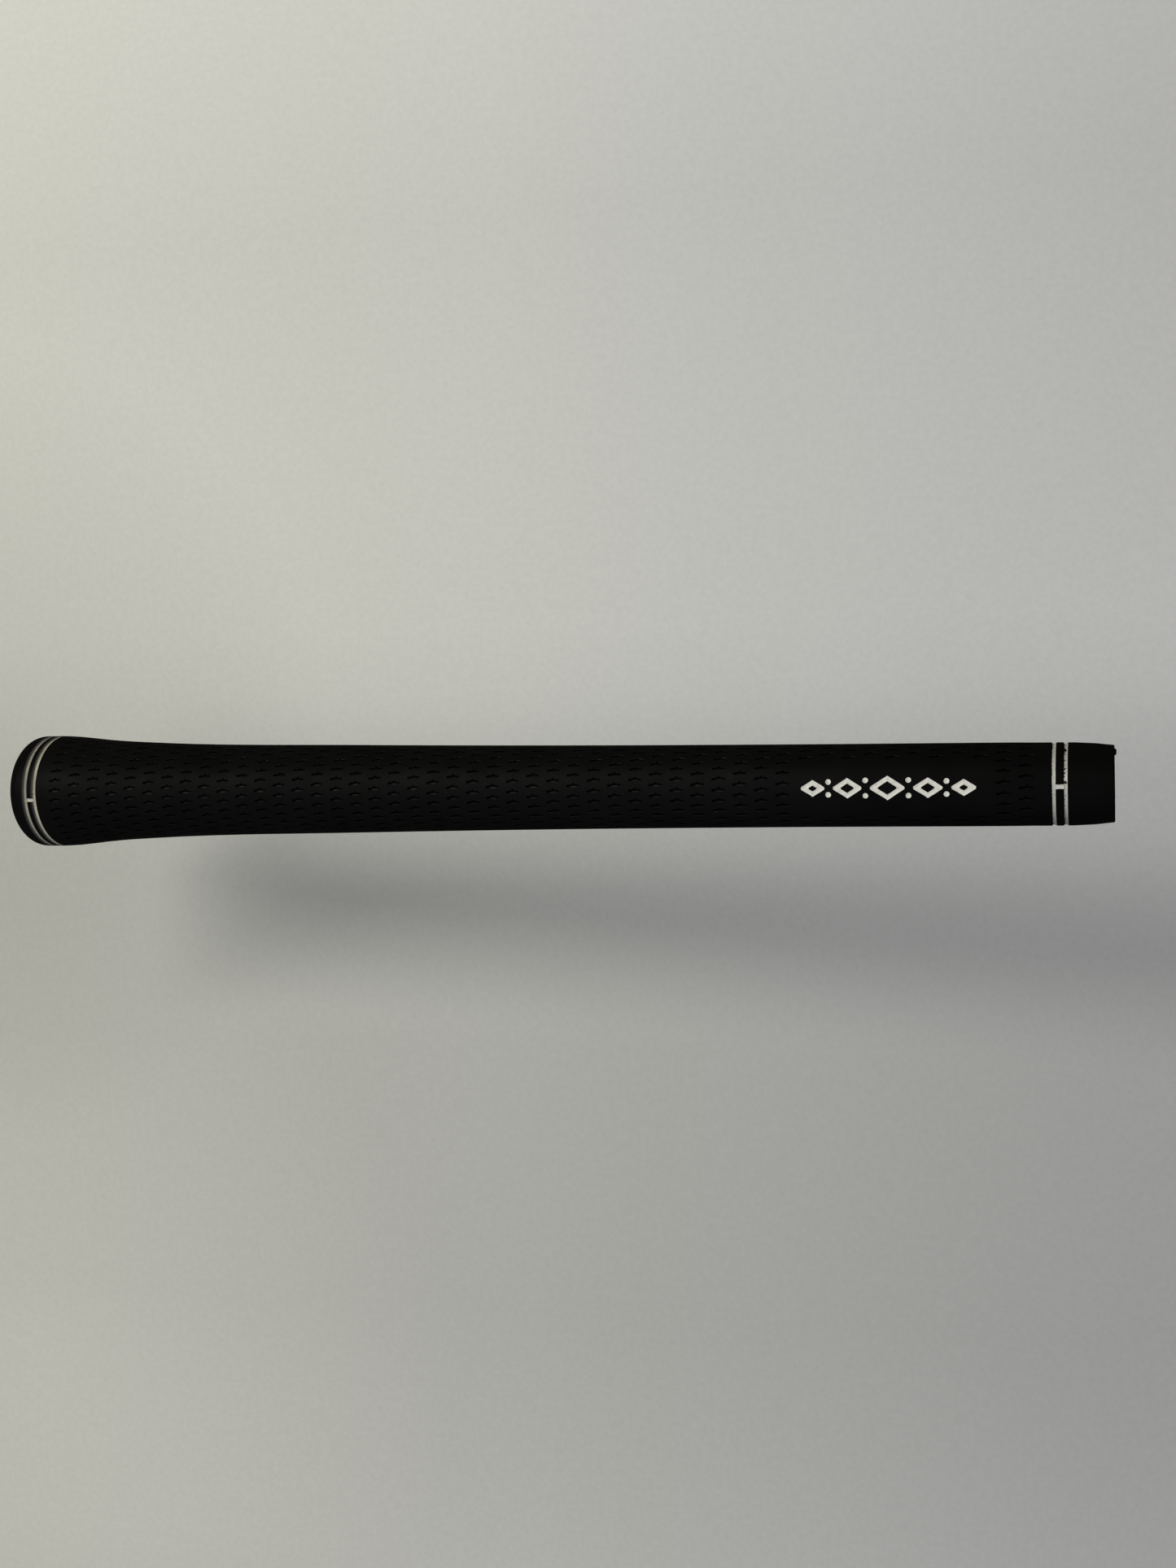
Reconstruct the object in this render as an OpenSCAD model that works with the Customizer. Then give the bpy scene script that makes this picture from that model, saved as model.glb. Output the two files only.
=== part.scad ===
// Slip-on golf grip, as it sits on a club: a tapered rubber sleeve with a flared butt,
// a harder end cap bonded into the flare, and paint laid into shallow moulded grooves.
// The grip lies along X. The origin is the centre of the mouth, where the shaft leaves
// towards +X, and +Z passes through the alignment marks on the front of the grip.
// Profiles are drawn as [radius, distance from the mouth] and turned about X.

/* [Length] */
// Overall length, from the mouth to the crown of the cap
grip_len = 268.2; // [255:0.1:280]
// Length of the tapered lip at the mouth
lip_len = 8; // [7:0.5:8.5]
// Distance from the crown of the cap to the start of the flare
flare_start = 39; // [36:0.5:42]
// Distance from the crown of the cap to the end of the flare
flare_end = 11; // [10.5:0.1:12]

/* [Outside diameters] */
// End face of the lip
lip_d = 16.6; // [16:0.1:17]
// Parallel stretch behind the lip
mouth_d = 18.1; // [17.6:0.1:18.4]
// A quarter of the way up the barrel
quarter_d = 18.7; // [18.4:0.05:19]
// Half way up the barrel
middle_d = 19.72; // [19.2:0.02:20.2]
// Three quarters of the way up the barrel
upper_d = 21.44; // [20.6:0.02:22.2]
// Start of the flare
neck_d = 23.95; // [23:0.05:25]
// Middle of the flare
flare_d = 25.55; // [25:0.05:26.2]
// Widest part, at the end cap
cap_d = 28.4; // [27.5:0.1:29.5]

/* [Shaft bore] */
// Diameter of the parallel bore at the mouth, as stretched by the shaft
shaft_d = 13.6; // [12.6:0.05:14]
// Length of that parallel bore
land_len = 20; // [12:1:30]
// Core diameter under the hands (0.580 inch)
core_d = 14.73; // [14.2:0.01:15.24]
// Distance from the mouth at which the core diameter is reached
core_start = 112; // [80:1:140]

/* [End cap] */
// Thickness of the disc that the shaft butts against
cap_disc = 5.8; // [5:0.1:7]
// Radius of the rounded edge
cap_edge_r = 3.7; // [3:0.1:4.5]
// Height of the crown of the end face
cap_crown = 0.35; // [0.2:0.05:0.8]
// Diameter of the skirt that is bonded inside the sleeve
skirt_d = 20; // [18:0.5:21]
// Length of the skirt below the seam
skirt_len = 10; // [6:0.5:14]
// Diameter of the vent hole, which lets air and solvent out while fitting
vent_d = 2.5; // [2:0.1:3.5]

/* [Paint grooves] */
// Width of the ring grooves and of the index marks
groove_w = 1; // [0.8:0.05:1.2]
// Depth of the grooves and of the emblem's recesses
groove_depth = 0.45; // [0.3:0.05:0.6]
// How far the paint lies below the surface in a groove
paint_drop = 0.12; // [0:0.02:0.25]
// Distance between the two rings at the mouth
mouth_ring_pitch = 2.45; // [2.2:0.05:3]
// Distance between the two rings at the butt
butt_ring_pitch = 2.6; // [2.2:0.05:3]
// Distance from the mouth to the first ring's centre
mouth_ring_s = 9.95; // [9.5:0.05:11]
// Distance from the crown to the last ring's centre
butt_ring_s = 6.35; // [5.8:0.05:6.8]
// Twist of the butt's index mark about the axis, left by fitting
butt_twist = 5.5; // [0:0.5:10]

/* [Emblem] */
// Distance from the mouth to the emblem's centre
emblem_s = 47.3; // [45:0.1:60]
// Stroke of the emblem's lozenges
emblem_stroke = 1.1; // [0.7:0.05:1.2]
// Gap between two lozenges
emblem_gap = 0.9; // [0.7:0.05:1.2]
// Radius of the emblem's dots
emblem_dot_r = 0.6; // [0.4:0.05:0.65]

/* [Hidden] */

$fn = 96;
rubber = [0.045, 0.045, 0.04];
cap_rubber = [0.055, 0.055, 0.05];
paint = [0.72, 0.70, 0.65];
profile_step = 4;   // spacing of the points along the sleeve's curve

// Places along the grip, as distances from the mouth
butt_outer_s = grip_len - butt_ring_s;
butt_inner_s = butt_outer_s - butt_ring_pitch;
mouth_upper_s = mouth_ring_s + mouth_ring_pitch;
seam_s = butt_inner_s - groove_w / 2;      // where the sleeve ends and the cap begins
seat_s = grip_len - cap_disc;              // where the shaft's end rests
barrel_end = grip_len - flare_start;
mouth_end = 2 * lip_len;                   // where the parallel stretch gives way to the taper
barrel_len = barrel_end - mouth_end;
flare_mid = grip_len - (flare_start + flare_end) / 2;

// Outside radius at the named places; the outline is a smooth curve through them
stations = [
    [0, lip_d / 2],
    [0.65 * lip_len, 0.25 * lip_d / 2 + 0.75 * mouth_d / 2],
    [lip_len, 0.1 * lip_d / 2 + 0.9 * mouth_d / 2],
    [mouth_end, mouth_d / 2],
    [mouth_end + barrel_len / 4, quarter_d / 2],
    [mouth_end + barrel_len / 2, middle_d / 2],
    [mouth_end + barrel_len * 3 / 4, upper_d / 2],
    [barrel_end, neck_d / 2],
    [flare_mid, flare_d / 2],
    [grip_len - flare_end, cap_d / 2 - 0.09],
    [seam_s, cap_d / 2 - 0.02],
    [seat_s, cap_d / 2]
];

// Slope of the chord that starts at station i
function chord(i) = (stations[i + 1][1] - stations[i][1]) / (stations[i + 1][0] - stations[i][0]);

// Slope of the curve at station i, weighted towards the shorter neighbour
function slope(i) =
    i == 0 ? chord(0)
    : i == len(stations) - 1 ? chord(i - 1)
    : let (before = stations[i][0] - stations[i - 1][0], after = stations[i + 1][0] - stations[i][0])
      (chord(i - 1) * after + chord(i) * before) / (before + after);

// Cubic curve between station i and the next, at part u of the way
function hermite(i, u) =
    let (h = stations[i + 1][0] - stations[i][0])
    (2 * u ^ 3 - 3 * u ^ 2 + 1) * stations[i][1] + (u ^ 3 - 2 * u ^ 2 + u) * h * slope(i)
    + (3 * u ^ 2 - 2 * u ^ 3) * stations[i + 1][1] + (u ^ 3 - u ^ 2) * h * slope(i + 1);

// Index of the stretch that holds the distance s
function stretch(s, i = 0) =
    i >= len(stations) - 2 || s <= stations[i + 1][0] ? i : stretch(s, i + 1);

// Outside radius at the distance s from the mouth
function outside_r(s) =
    let (i = stretch(s)) hermite(i, (s - stations[i][0]) / (stations[i + 1][0] - stations[i][0]));

// Points of the outside curve from one distance to another
function outside_curve(from, to) =
    let (count = max(2, ceil((to - from) / profile_step)))
    [for (i = [0:count]) let (s = from + (to - from) * i / count) [outside_r(s), s]];

// Turns a profile of [radius, distance from the mouth] about the grip's axis
module turned() {
    rotate([0, -90, 0]) rotate_extrude() children();
}

// Profile of a band that follows the surface, between two depths below it
module band_profile(from, to, deep, shallow) {
    outer = outside_curve(from, to);
    inner = [for (i = [len(outer) - 1:-1:0]) outer[i] - [deep, 0]];
    polygon(concat([for (p = outer) p - [shallow, 0]], inner));
}

// Groove of the stated width round the grip, cut through the surface
module ring_groove(s) {
    turned() band_profile(s - groove_w / 2, s + groove_w / 2, groove_depth, -1);
}

// Paint that fills such a groove to just below the surface
module ring_paint(s) {
    turned() band_profile(s - groove_w / 2, s + groove_w / 2, groove_depth, paint_drop);
}

// Short slab between the two rings of a pair, the lower one at s
module index_slab(s, pitch) {
    translate([-s - pitch + groove_w / 2, -groove_w / 2, 0])
        cube([pitch - groove_w, groove_w, cap_d]);
}

// Band of the surface under an index mark, cut to the mark's width
module index_mark(s, pitch, twist, shallow) {
    intersection() {
        turned() band_profile(s + groove_w / 2, s + pitch - groove_w / 2, groove_depth, shallow);
        rotate([twist, 0, 0]) index_slab(s, pitch);
    }
}

// Open lozenge drawn with the emblem's stroke
module lozenge(half_len, half_height) {
    k = 1 - emblem_stroke * sqrt(1 / half_len ^ 2 + 1 / half_height ^ 2);
    difference() {
        polygon([[half_len, 0], [0, half_height], [-half_len, 0], [0, -half_height]]);
        polygon([[half_len * k, 0], [0, half_height * k], [-half_len * k, 0], [0, -half_height * k]]);
    }
}

// Flat drawing of the emblem: a band of lozenges, larger in the middle, with dots between
emblem_sizes = [[4.2, 2.75], [3.6, 2.3], [3.1, 1.9]];   // half length and half height
emblem_x = [
    0,
    emblem_sizes[0][0] + emblem_gap + emblem_sizes[1][0],
    emblem_sizes[0][0] + 2 * emblem_gap + 2 * emblem_sizes[1][0] + emblem_sizes[2][0]
];
module emblem_drawing() {
    lozenge(emblem_sizes[0][0], emblem_sizes[0][1]);
    for (side = [-1, 1], i = [1, 2]) {
        translate([side * emblem_x[i], 0]) lozenge(emblem_sizes[i][0], emblem_sizes[i][1]);
        dot_x = emblem_x[i] - emblem_sizes[i][0] - emblem_gap / 2;
        for (row = [-1, 1])
            translate([side * dot_x, row * 0.62 * emblem_sizes[i - 1][1]]) circle(emblem_dot_r, $fn = 24);
    }
}

// The emblem as solids that follow the surface, between two depths
module emblem_solids(shallow) {
    reach = emblem_x[2] + emblem_sizes[2][0] + emblem_gap;
    intersection() {
        turned() band_profile(emblem_s - reach, emblem_s + reach, groove_depth, shallow);
        translate([-emblem_s, 0, 0]) linear_extrude(cap_d) emblem_drawing();
    }
}

// Tapered sleeve with the shaft's bore, open at the mouth and counterbored for the cap's skirt
module grip_sleeve() {
    color(rubber) difference() {
        turned() polygon(concat(
            [[shaft_d / 2, 0]],
            outside_curve(0, seam_s),
            [
                [skirt_d / 2, seam_s],
                [skirt_d / 2, seam_s - skirt_len],
                [core_d / 2, seam_s - skirt_len],
                [core_d / 2, core_start],
                [shaft_d / 2, land_len]
            ]
        ));
        ring_groove(mouth_ring_s);
        ring_groove(mouth_upper_s);
        index_mark(mouth_ring_s, mouth_ring_pitch, 0, -1);
        emblem_solids(-1);
    }
}

// Mushroom-shaped cap: a crowned disc with a skirt, a rounded edge and a vent hole
module end_cap() {
    edge_s = grip_len - cap_crown - cap_edge_r;   // where the rounded edge begins
    face_r = cap_d / 2 - cap_edge_r;              // where the crowned face begins
    color(cap_rubber) difference() {
        turned() polygon(concat(
            [[core_d / 2, seat_s], [core_d / 2, seam_s - skirt_len], [skirt_d / 2, seam_s - skirt_len],
             [skirt_d / 2, seam_s]],
            outside_curve(seam_s, seat_s),
            [for (a = [0:10:90]) [face_r + cap_edge_r * cos(a), edge_s + cap_edge_r * sin(a)]],
            [for (u = [0.75:-0.25:0]) [face_r * u, grip_len - cap_crown * u ^ 2]],
            [[0, seat_s]]
        ));
        ring_groove(butt_inner_s);
        ring_groove(butt_outer_s);
        index_mark(butt_inner_s, butt_ring_pitch, butt_twist, -1);
        translate([-grip_len - 1, 0, 0]) rotate([0, 90, 0]) cylinder(h = cap_disc + 2, d = vent_d);
    }
}

module butt_ring_outer() { color(paint) ring_paint(butt_outer_s); }
module butt_ring_inner() { color(paint) ring_paint(butt_inner_s); }
module butt_index_mark() {
    color(paint) index_mark(butt_inner_s, butt_ring_pitch, butt_twist, paint_drop);
}
module mouth_ring_upper() { color(paint) ring_paint(mouth_upper_s); }
module mouth_ring_lower() { color(paint) ring_paint(mouth_ring_s); }
module mouth_index_mark() {
    color(paint) index_mark(mouth_ring_s, mouth_ring_pitch, 0, paint_drop);
}
module front_emblem() { color(paint) emblem_solids(0); }

grip_sleeve();
end_cap();
butt_ring_outer();
butt_ring_inner();
butt_index_mark();
mouth_ring_upper();
mouth_ring_lower();
mouth_index_mark();
front_emblem();
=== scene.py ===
import math

import bmesh
import bpy
import numpy as np
from mathutils import Matrix, Vector, noise
from mathutils.geometry import delaunay_2d_cdt


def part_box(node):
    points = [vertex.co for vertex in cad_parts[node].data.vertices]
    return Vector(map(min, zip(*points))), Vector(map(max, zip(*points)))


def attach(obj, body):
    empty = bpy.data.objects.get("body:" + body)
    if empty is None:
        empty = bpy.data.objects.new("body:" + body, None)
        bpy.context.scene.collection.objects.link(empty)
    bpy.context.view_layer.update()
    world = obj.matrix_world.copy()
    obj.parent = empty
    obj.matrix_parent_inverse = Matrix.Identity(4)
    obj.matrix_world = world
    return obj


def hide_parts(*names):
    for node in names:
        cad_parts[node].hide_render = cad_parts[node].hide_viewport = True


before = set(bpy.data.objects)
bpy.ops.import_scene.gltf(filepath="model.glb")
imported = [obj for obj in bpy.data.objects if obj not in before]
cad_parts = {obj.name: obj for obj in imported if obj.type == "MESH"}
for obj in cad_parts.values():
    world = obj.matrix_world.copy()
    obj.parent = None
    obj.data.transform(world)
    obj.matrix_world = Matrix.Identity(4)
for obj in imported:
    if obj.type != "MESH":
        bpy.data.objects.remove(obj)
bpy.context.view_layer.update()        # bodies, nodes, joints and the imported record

# The grip lies along X with its mouth at the origin. Shapes are worked out in millimetres on the
# unrolled surface: s runs from the mouth towards the butt, arc runs round from the front
# centreline (positive towards +Y), and depth goes below the surface.
MM = 0.001


# ---------------- sizes taken from the frame

def node_span(node):
    """Nearest and furthest distance of a CAD node from the mouth, in millimetres."""
    low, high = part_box(node)
    return -high.x / MM, -low.x / MM


def node_centre(node):
    low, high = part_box(node)
    return (low + high) / 2 / MM


def full_rings(node, least=24):
    """(s, radius) of every full ring of vertices on a node's outside, which only grows with s."""
    slices = {}
    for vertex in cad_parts[node].data.vertices:
        s = round(-vertex.co.x / MM, 2)
        slices.setdefault(s, []).append(math.hypot(vertex.co.y, vertex.co.z) / MM)
    found = []
    for s, radii in sorted(slices.items()):
        r = max(radii)
        full = sum(radius > r - 0.01 for radius in radii) >= least
        if full and (not found or r >= found[-1][1]):
            found.append((s, r))
    return found


SEAM = node_span("grip_sleeve")[1]          # where the sleeve ends and the cap begins
CROWN = node_span("end_cap")[1]             # furthest point of the cap
SKIRT_END = node_span("end_cap")[0]         # the cap's skirt reaches this far into the sleeve
CAP_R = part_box("end_cap")[1].y / MM
MOUTH_RINGS = [node_span("mouth_ring_lower"), node_span("mouth_ring_upper")]
BUTT_RINGS = [node_span("butt_ring_inner"), node_span("butt_ring_outer")]
TICK_HALF = (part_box("mouth_index_mark")[1].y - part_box("mouth_index_mark")[0].y) / MM / 2
BUTT_TICK = node_centre("butt_index_mark")
EMBLEM_S = -node_centre("front_emblem").x

# Sizes that the boxes don't give, as in the CAD part
GROOVE_DEPTH = 0.45
GROOVE_SLOPE = 0.30      # the ring grooves' butt-side walls slope over this width
WALL_RUN = 0.01          # the other walls are this much short of upright
SHAFT_R = 6.8
LAND_LEN = 20.0
CORE_R = 7.365
CORE_START = 112.0
SKIRT_R = 10.0
SEAT = CROWN - 5.8
CAP_EDGE_R = 3.7
CAP_CROWN = 0.35
VENT_R = 1.25
EMBLEM_SIZES = [(4.2, 2.75), (3.6, 2.3), (3.1, 1.9)]   # half length and half height of the lozenges
EMBLEM_STROKE = 1.1
EMBLEM_GAP = 0.9
EMBLEM_DOT_R = 0.6
EMBLEM_DOT_LIFT = 0.62   # of a dot from the centreline, as a part of its lozenge's half height

# The moulded texture: columns of slits along the grip, rows round it
COLUMN_FIRST = 17.86     # first column's distance from the mouth
COLUMN_PITCH = 4.712     # pitch at the mouth, where the rubber is stretched over the shaft
COLUMN_GROWTH = 0.00407  # the pitch grows towards the unstretched butt
COLUMNS = 49
ROW_PITCH = 1.245
SLIT_DEPTH = 0.30
PANEL_COLUMNS = range(2, 11)   # the plain panel round the emblem
PANEL_ROWS = 5
TWIST_START = 100.0      # fitting left the butt twisted against the mouth
TWIST_EASE = 1.3         # above 1, the twist gathers towards the butt

rings = full_rings("grip_sleeve")
STATION_S = np.array([s for s, r in rings] + [SEAT])
STATION_R = np.array([r for s, r in rings] + [CAP_R])
CHORDS = np.diff(STATION_R) / np.diff(STATION_S)
GAPS = np.diff(STATION_S)
SLOPES = np.concatenate((
    CHORDS[:1],
    (CHORDS[:-1] * GAPS[1:] + CHORDS[1:] * GAPS[:-1]) / (GAPS[1:] + GAPS[:-1]),
    CHORDS[-1:],
))


def outside_r(s):
    """Outside radius at s: a smooth curve through the CAD sleeve's own rings."""
    s = min(max(s, 0.0), SEAT)
    i = int(min(max(np.searchsorted(STATION_S, s) - 1, 0), len(GAPS) - 1))
    h = GAPS[i]
    u = (s - STATION_S[i]) / h
    start = (2 * u ** 3 - 3 * u ** 2 + 1) * STATION_R[i] + (u ** 3 - 2 * u ** 2 + u) * h * SLOPES[i]
    end = (3 * u ** 2 - 2 * u ** 3) * STATION_R[i + 1] + (u ** 3 - u ** 2) * h * SLOPES[i + 1]
    return float(start + end)


BUTT_TWIST = math.atan2(-BUTT_TICK.y, BUTT_TICK.z)


def twist(s):
    """How far the pattern has turned towards -Y, in radians."""
    part = min(max((s - TWIST_START) / (SEAM - TWIST_START), 0.0), 1.0)
    return BUTT_TWIST * part ** TWIST_EASE


def on_circle(r, s, angle):
    """Place at a radius, a distance from the mouth and an angle from the front towards +Y."""
    return Vector((-s, r * math.sin(angle), r * math.cos(angle)))


def turned(r, s, angles):
    """Ring of points at one radius and distance."""
    return [on_circle(r, s, angle) for angle in angles]


def on_grip(s, arc, depth=0.0, back=False):
    """Place on the grip, in millimetres; the back half counts its arc from the back centreline."""
    radius = outside_r(s)
    angle = arc / radius - twist(s) + (math.pi if back else 0.0)
    return on_circle(radius - depth, s, angle)


def smooth(edge0, edge1, x):
    t = min(max((x - edge0) / (edge1 - edge0), 0.0), 1.0)
    return t * t * (3 - 2 * t)


def rough(x, y, z, size):
    """Smooth noise from -1 to 1 with lumps of the stated size in millimetres."""
    return noise.noise(Vector((x, y, z)) / size)


# ---------------- mesh helpers

WELD = 0.0005            # points closer than this become one, in millimetres
SLIVER = 0.0002          # edges shorter than this are dissolved


def make_piece(name, surface, sharp_degrees):
    """Closed mesh from a surface in millimetres, smooth shaded, with sharp edges above an angle.

    Faces with another material than their neighbours' get a sharp edge round them too.
    """
    mesh = bpy.data.meshes.new(name)
    mesh.from_pydata([tuple(Vector(p) * MM) for p in surface.points], [], surface.faces)
    for index, material_index in surface.other_faces.items():
        mesh.polygons[index].material_index = material_index
    bm = bmesh.new()
    bm.from_mesh(mesh)
    bmesh.ops.remove_doubles(bm, verts=bm.verts, dist=WELD * MM)
    bmesh.ops.dissolve_degenerate(bm, edges=bm.edges, dist=SLIVER * MM)
    bmesh.ops.recalc_face_normals(bm, faces=bm.faces)
    limit = math.radians(sharp_degrees)
    for face in bm.faces:
        face.smooth = True
    for edge in bm.edges:
        sides = edge.link_faces
        same = len(sides) == 2 and sides[0].material_index == sides[1].material_index
        edge.smooth = same and edge.calc_face_angle(0.0) < limit
    bm.to_mesh(mesh)
    bm.free()
    piece = bpy.data.objects.new(name, mesh)
    bpy.context.scene.collection.objects.link(piece)
    return piece


class Surface:
    """Grows a list of points and faces."""

    def __init__(self):
        self.points = []
        self.faces = []
        self.other_faces = {}    # material index of the faces that don't take the first

    def ring(self, points):
        """Adds a closed ring of points and gives their indices."""
        first = len(self.points)
        self.points.extend(points)
        return list(range(first, len(self.points)))

    def join(self, a, b):
        """Joins two rings of the same length with quads."""
        n = len(a)
        for i in range(n):
            k = (i + 1) % n
            self.faces.append((a[i], a[k], b[k], b[i]))

    def loft(self, loops, close=False):
        """Joins a series of rings in order, and the last to the first if closed."""
        made = [self.ring(loop) for loop in loops]
        for a, b in zip(made, made[1:]):
            self.join(a, b)
        if close:
            self.join(made[-1], made[0])
        return made

    def fan(self, ring, centre):
        self.points.append(centre)
        tip = len(self.points) - 1
        for i in range(len(ring)):
            self.faces.append((ring[i], ring[(i + 1) % len(ring)], tip))

    def bridge(self, ring, angles, b, angles_of_b):
        """Joins two rings with different counts of points; the second is sorted by angle."""
        def from_b(angle):
            return (angle - angles_of_b[0]) % (2 * math.pi)

        order = sorted(range(len(ring)), key=lambda i: from_b(angles[i]))
        a = [ring[i] for i in order]
        angles_a = [from_b(angles[i]) for i in order]
        angles_b = [angle - angles_of_b[0] for angle in angles_of_b]
        i = j = 0
        while i < len(a) or j < len(b):
            next_a = angles_a[i + 1] if i + 1 < len(a) else angles_a[0] + 2 * math.pi
            next_b = angles_b[j + 1] if j + 1 < len(b) else angles_b[0] + 2 * math.pi
            if j >= len(b) or (i < len(a) and next_a <= next_b):
                self.faces.append((a[i % len(a)], a[(i + 1) % len(a)], b[j % len(b)]))
                i += 1
            else:
                self.faces.append((a[i % len(a)], b[(j + 1) % len(b)], b[j % len(b)]))
                j += 1


# ---------------- the sleeve's texture

def column_s(j):
    return COLUMN_FIRST + COLUMN_PITCH * j + COLUMN_GROWTH * j * j


def inset(loop, distance):
    """A counter-clockwise outline moved inwards by a distance, corners kept as mitres."""
    moved = []
    n = len(loop)
    for i in range(n):
        before = Vector(loop[i - 1])
        here = Vector(loop[i])
        after = Vector(loop[(i + 1) % n])
        into = (here - before).normalized()
        out = (after - here).normalized()
        normal = Vector((-into.y - out.y, into.x + out.x)).normalized()
        lean = max(normal.dot(Vector((-into.y, into.x))), 0.5)
        moved.append(here + normal * distance / lean)
    return moved


# One slit, drawn clockwise from its butt end: a bent stroke with a cross tick. Its rim leads down
# shallow shoulders, wider below the middle of the stroke, to a narrow deep core.
SLIT_RIM = [
    (1.68, -0.25), (1.48, -0.56), (0.78, -0.49), (0.38, -0.52), (-0.10, -0.60), (-0.62, -0.53),
    (-1.36, -0.38), (-1.58, -0.15), (-1.36, 0.13), (-0.27, 0.30), (-0.18, 0.55), (0.18, 0.55),
    (0.30, 0.30), (1.48, 0.10),
]
SLIT_CORE = [
    (1.62, -0.25), (1.46, -0.50), (0.84, -0.44), (0.42, -0.25), (0.00, -0.20), (-0.40, -0.21),
    (-1.32, -0.31), (-1.51, -0.16), (-1.32, 0.01), (-0.19, 0.17), (-0.12, 0.47), (0.12, 0.47),
    (0.21, 0.17), (1.46, -0.03),
]
SLIT_SHOULDER = 0.08     # depth where the shoulders end and the core begins
CORE_WALL = 0.03         # run of the core's steep walls


class Plan:
    """Flat plan of one half of the sleeve, in (s, arc), with a depth for every point."""

    def __init__(self):
        self.points = []
        self.depths = []
        self.edges = []

    def line(self, points, depths, closed):
        first = len(self.points)
        self.points.extend(Vector(p) for p in points)
        self.depths.extend(depths)
        count = len(points)
        last = count if closed else count - 1
        for i in range(last):
            self.edges.append((first + i, first + (i + 1) % count))

    def loop(self, points, depth):
        self.line(points, [depth] * len(points), True)

    def dot(self, s, arc, depth=0.0):
        self.points.append(Vector((s, arc)))
        self.depths.append(depth)


def add_slit(plan, s, arc, wobble):
    """A slit, each one a little different in length and place."""
    stretch = 1 + 0.04 * wobble
    lift = 0.03 * wobble
    rim = [(s + x * stretch, arc + y + lift) for x, y in SLIT_RIM]
    core = [(s + x * stretch, arc + y + lift) for x, y in SLIT_CORE[::-1]]
    plan.loop(rim, 0.0)
    plan.loop(core, SLIT_SHOULDER)
    plan.loop(inset(core, CORE_WALL), SLIT_DEPTH)


def rounded(corners, radius, steps=4, between=3):
    """Convex outline with its corners rounded and its sides divided."""
    points = []
    n = len(corners)
    arcs = []
    for i in range(n):
        here = Vector(corners[i])
        to_before = (Vector(corners[i - 1]) - here).normalized()
        to_after = (Vector(corners[(i + 1) % n]) - here).normalized()
        half = to_before.angle(to_after) / 2
        centre = here + (to_before + to_after).normalized() * radius / math.sin(half)
        start = here + to_before * radius / math.tan(half) - centre
        turn = math.pi - 2 * half
        arcs.append([centre + Matrix.Rotation(turn * k / steps, 2) @ start for k in range(steps + 1)])
    for i in range(n):
        points.extend(arcs[i])
        a = arcs[i][-1]
        b = arcs[(i + 1) % n][0]
        points.extend(a.lerp(b, k / (between + 1)) for k in range(1, between + 1))
    return points


def lozenge(centre_s, half_len, half_height, distance, radius):
    """Outline of a lozenge moved inwards by a distance, in (s, arc)."""
    k = 1 - distance * math.hypot(1 / half_len, 1 / half_height)
    corners = [
        (centre_s + half_len * k, 0), (centre_s, half_height * k),
        (centre_s - half_len * k, 0), (centre_s, -half_height * k),
    ]
    return rounded(corners, radius)


def circle(s, arc, radius, count=20):
    steps = [2 * math.pi * k / count for k in range(count)]
    return [Vector((s + radius * math.cos(a), arc + radius * math.sin(a))) for a in steps]


def emblem_layout():
    """Lozenges as (s, half length, half height) and dots as (s, arc)."""
    shapes = [(EMBLEM_S,) + EMBLEM_SIZES[0]]
    dots = []
    reach = EMBLEM_SIZES[0][0]
    for before, (half_len, half_height) in zip(EMBLEM_SIZES, EMBLEM_SIZES[1:]):
        offset = reach + EMBLEM_GAP + half_len
        dot_offset = reach + EMBLEM_GAP / 2
        for side in (-1, 1):
            shapes.append((EMBLEM_S + side * offset, half_len, half_height))
            for row in (-1, 1):
                dots.append((EMBLEM_S + side * dot_offset, row * EMBLEM_DOT_LIFT * before[1]))
        reach = offset + half_len
    return shapes, dots


LOZENGES, DOTS = emblem_layout()
OUTER_ROUND = 0.42   # rounding of a lozenge's outer corners
INNER_ROUND = 0.22   # and of the corners of its opening
RECESS_WALL = 0.03   # run of the recesses' steep walls


def clear_of_emblem(s, arc, margin=0.3):
    for centre, half_len, half_height in LOZENGES:
        g = math.hypot(1 / half_len, 1 / half_height)
        inside = (1 - abs(s - centre) / half_len - abs(arc) / half_height) / g
        if -margin < inside < EMBLEM_STROKE + margin:
            return False
    return all(math.hypot(s - x, arc - y) > EMBLEM_DOT_R + margin for x, y in DOTS)


def add_emblem_recesses(plan):
    for centre, half_len, half_height in LOZENGES:
        for distance, depth, radius in (
            (0.0, 0.0, OUTER_ROUND),
            (RECESS_WALL, GROOVE_DEPTH, OUTER_ROUND - RECESS_WALL),
            (EMBLEM_STROKE - RECESS_WALL, GROOVE_DEPTH, INNER_ROUND + RECESS_WALL),
            (EMBLEM_STROKE, 0.0, INNER_ROUND),
        ):
            plan.loop(lozenge(centre, half_len, half_height, distance, radius), depth)
    for s, arc in DOTS:
        plan.loop(circle(s, arc, EMBLEM_DOT_R), 0.0)
        plan.loop(circle(s, arc, EMBLEM_DOT_R - RECESS_WALL), GROOVE_DEPTH)


def parting_arc(s):
    return outside_r(s) * math.pi / 2


SLIT_REACH = 2.0         # of a slit from its column's middle towards the mouth, with some room
PARTING_ROOM = 0.75      # least room from a slit's row to the parting line
BORDER_ROOM = 0.25       # least room from the points between the columns to the ridge on that line
FILL_ROOM = 0.5          # and from the points that stand where a row has no slit
FILL_STEP = 1.3          # spacing of those points
LAST_ROOM = 2.55         # from the last column to the line behind it


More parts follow.
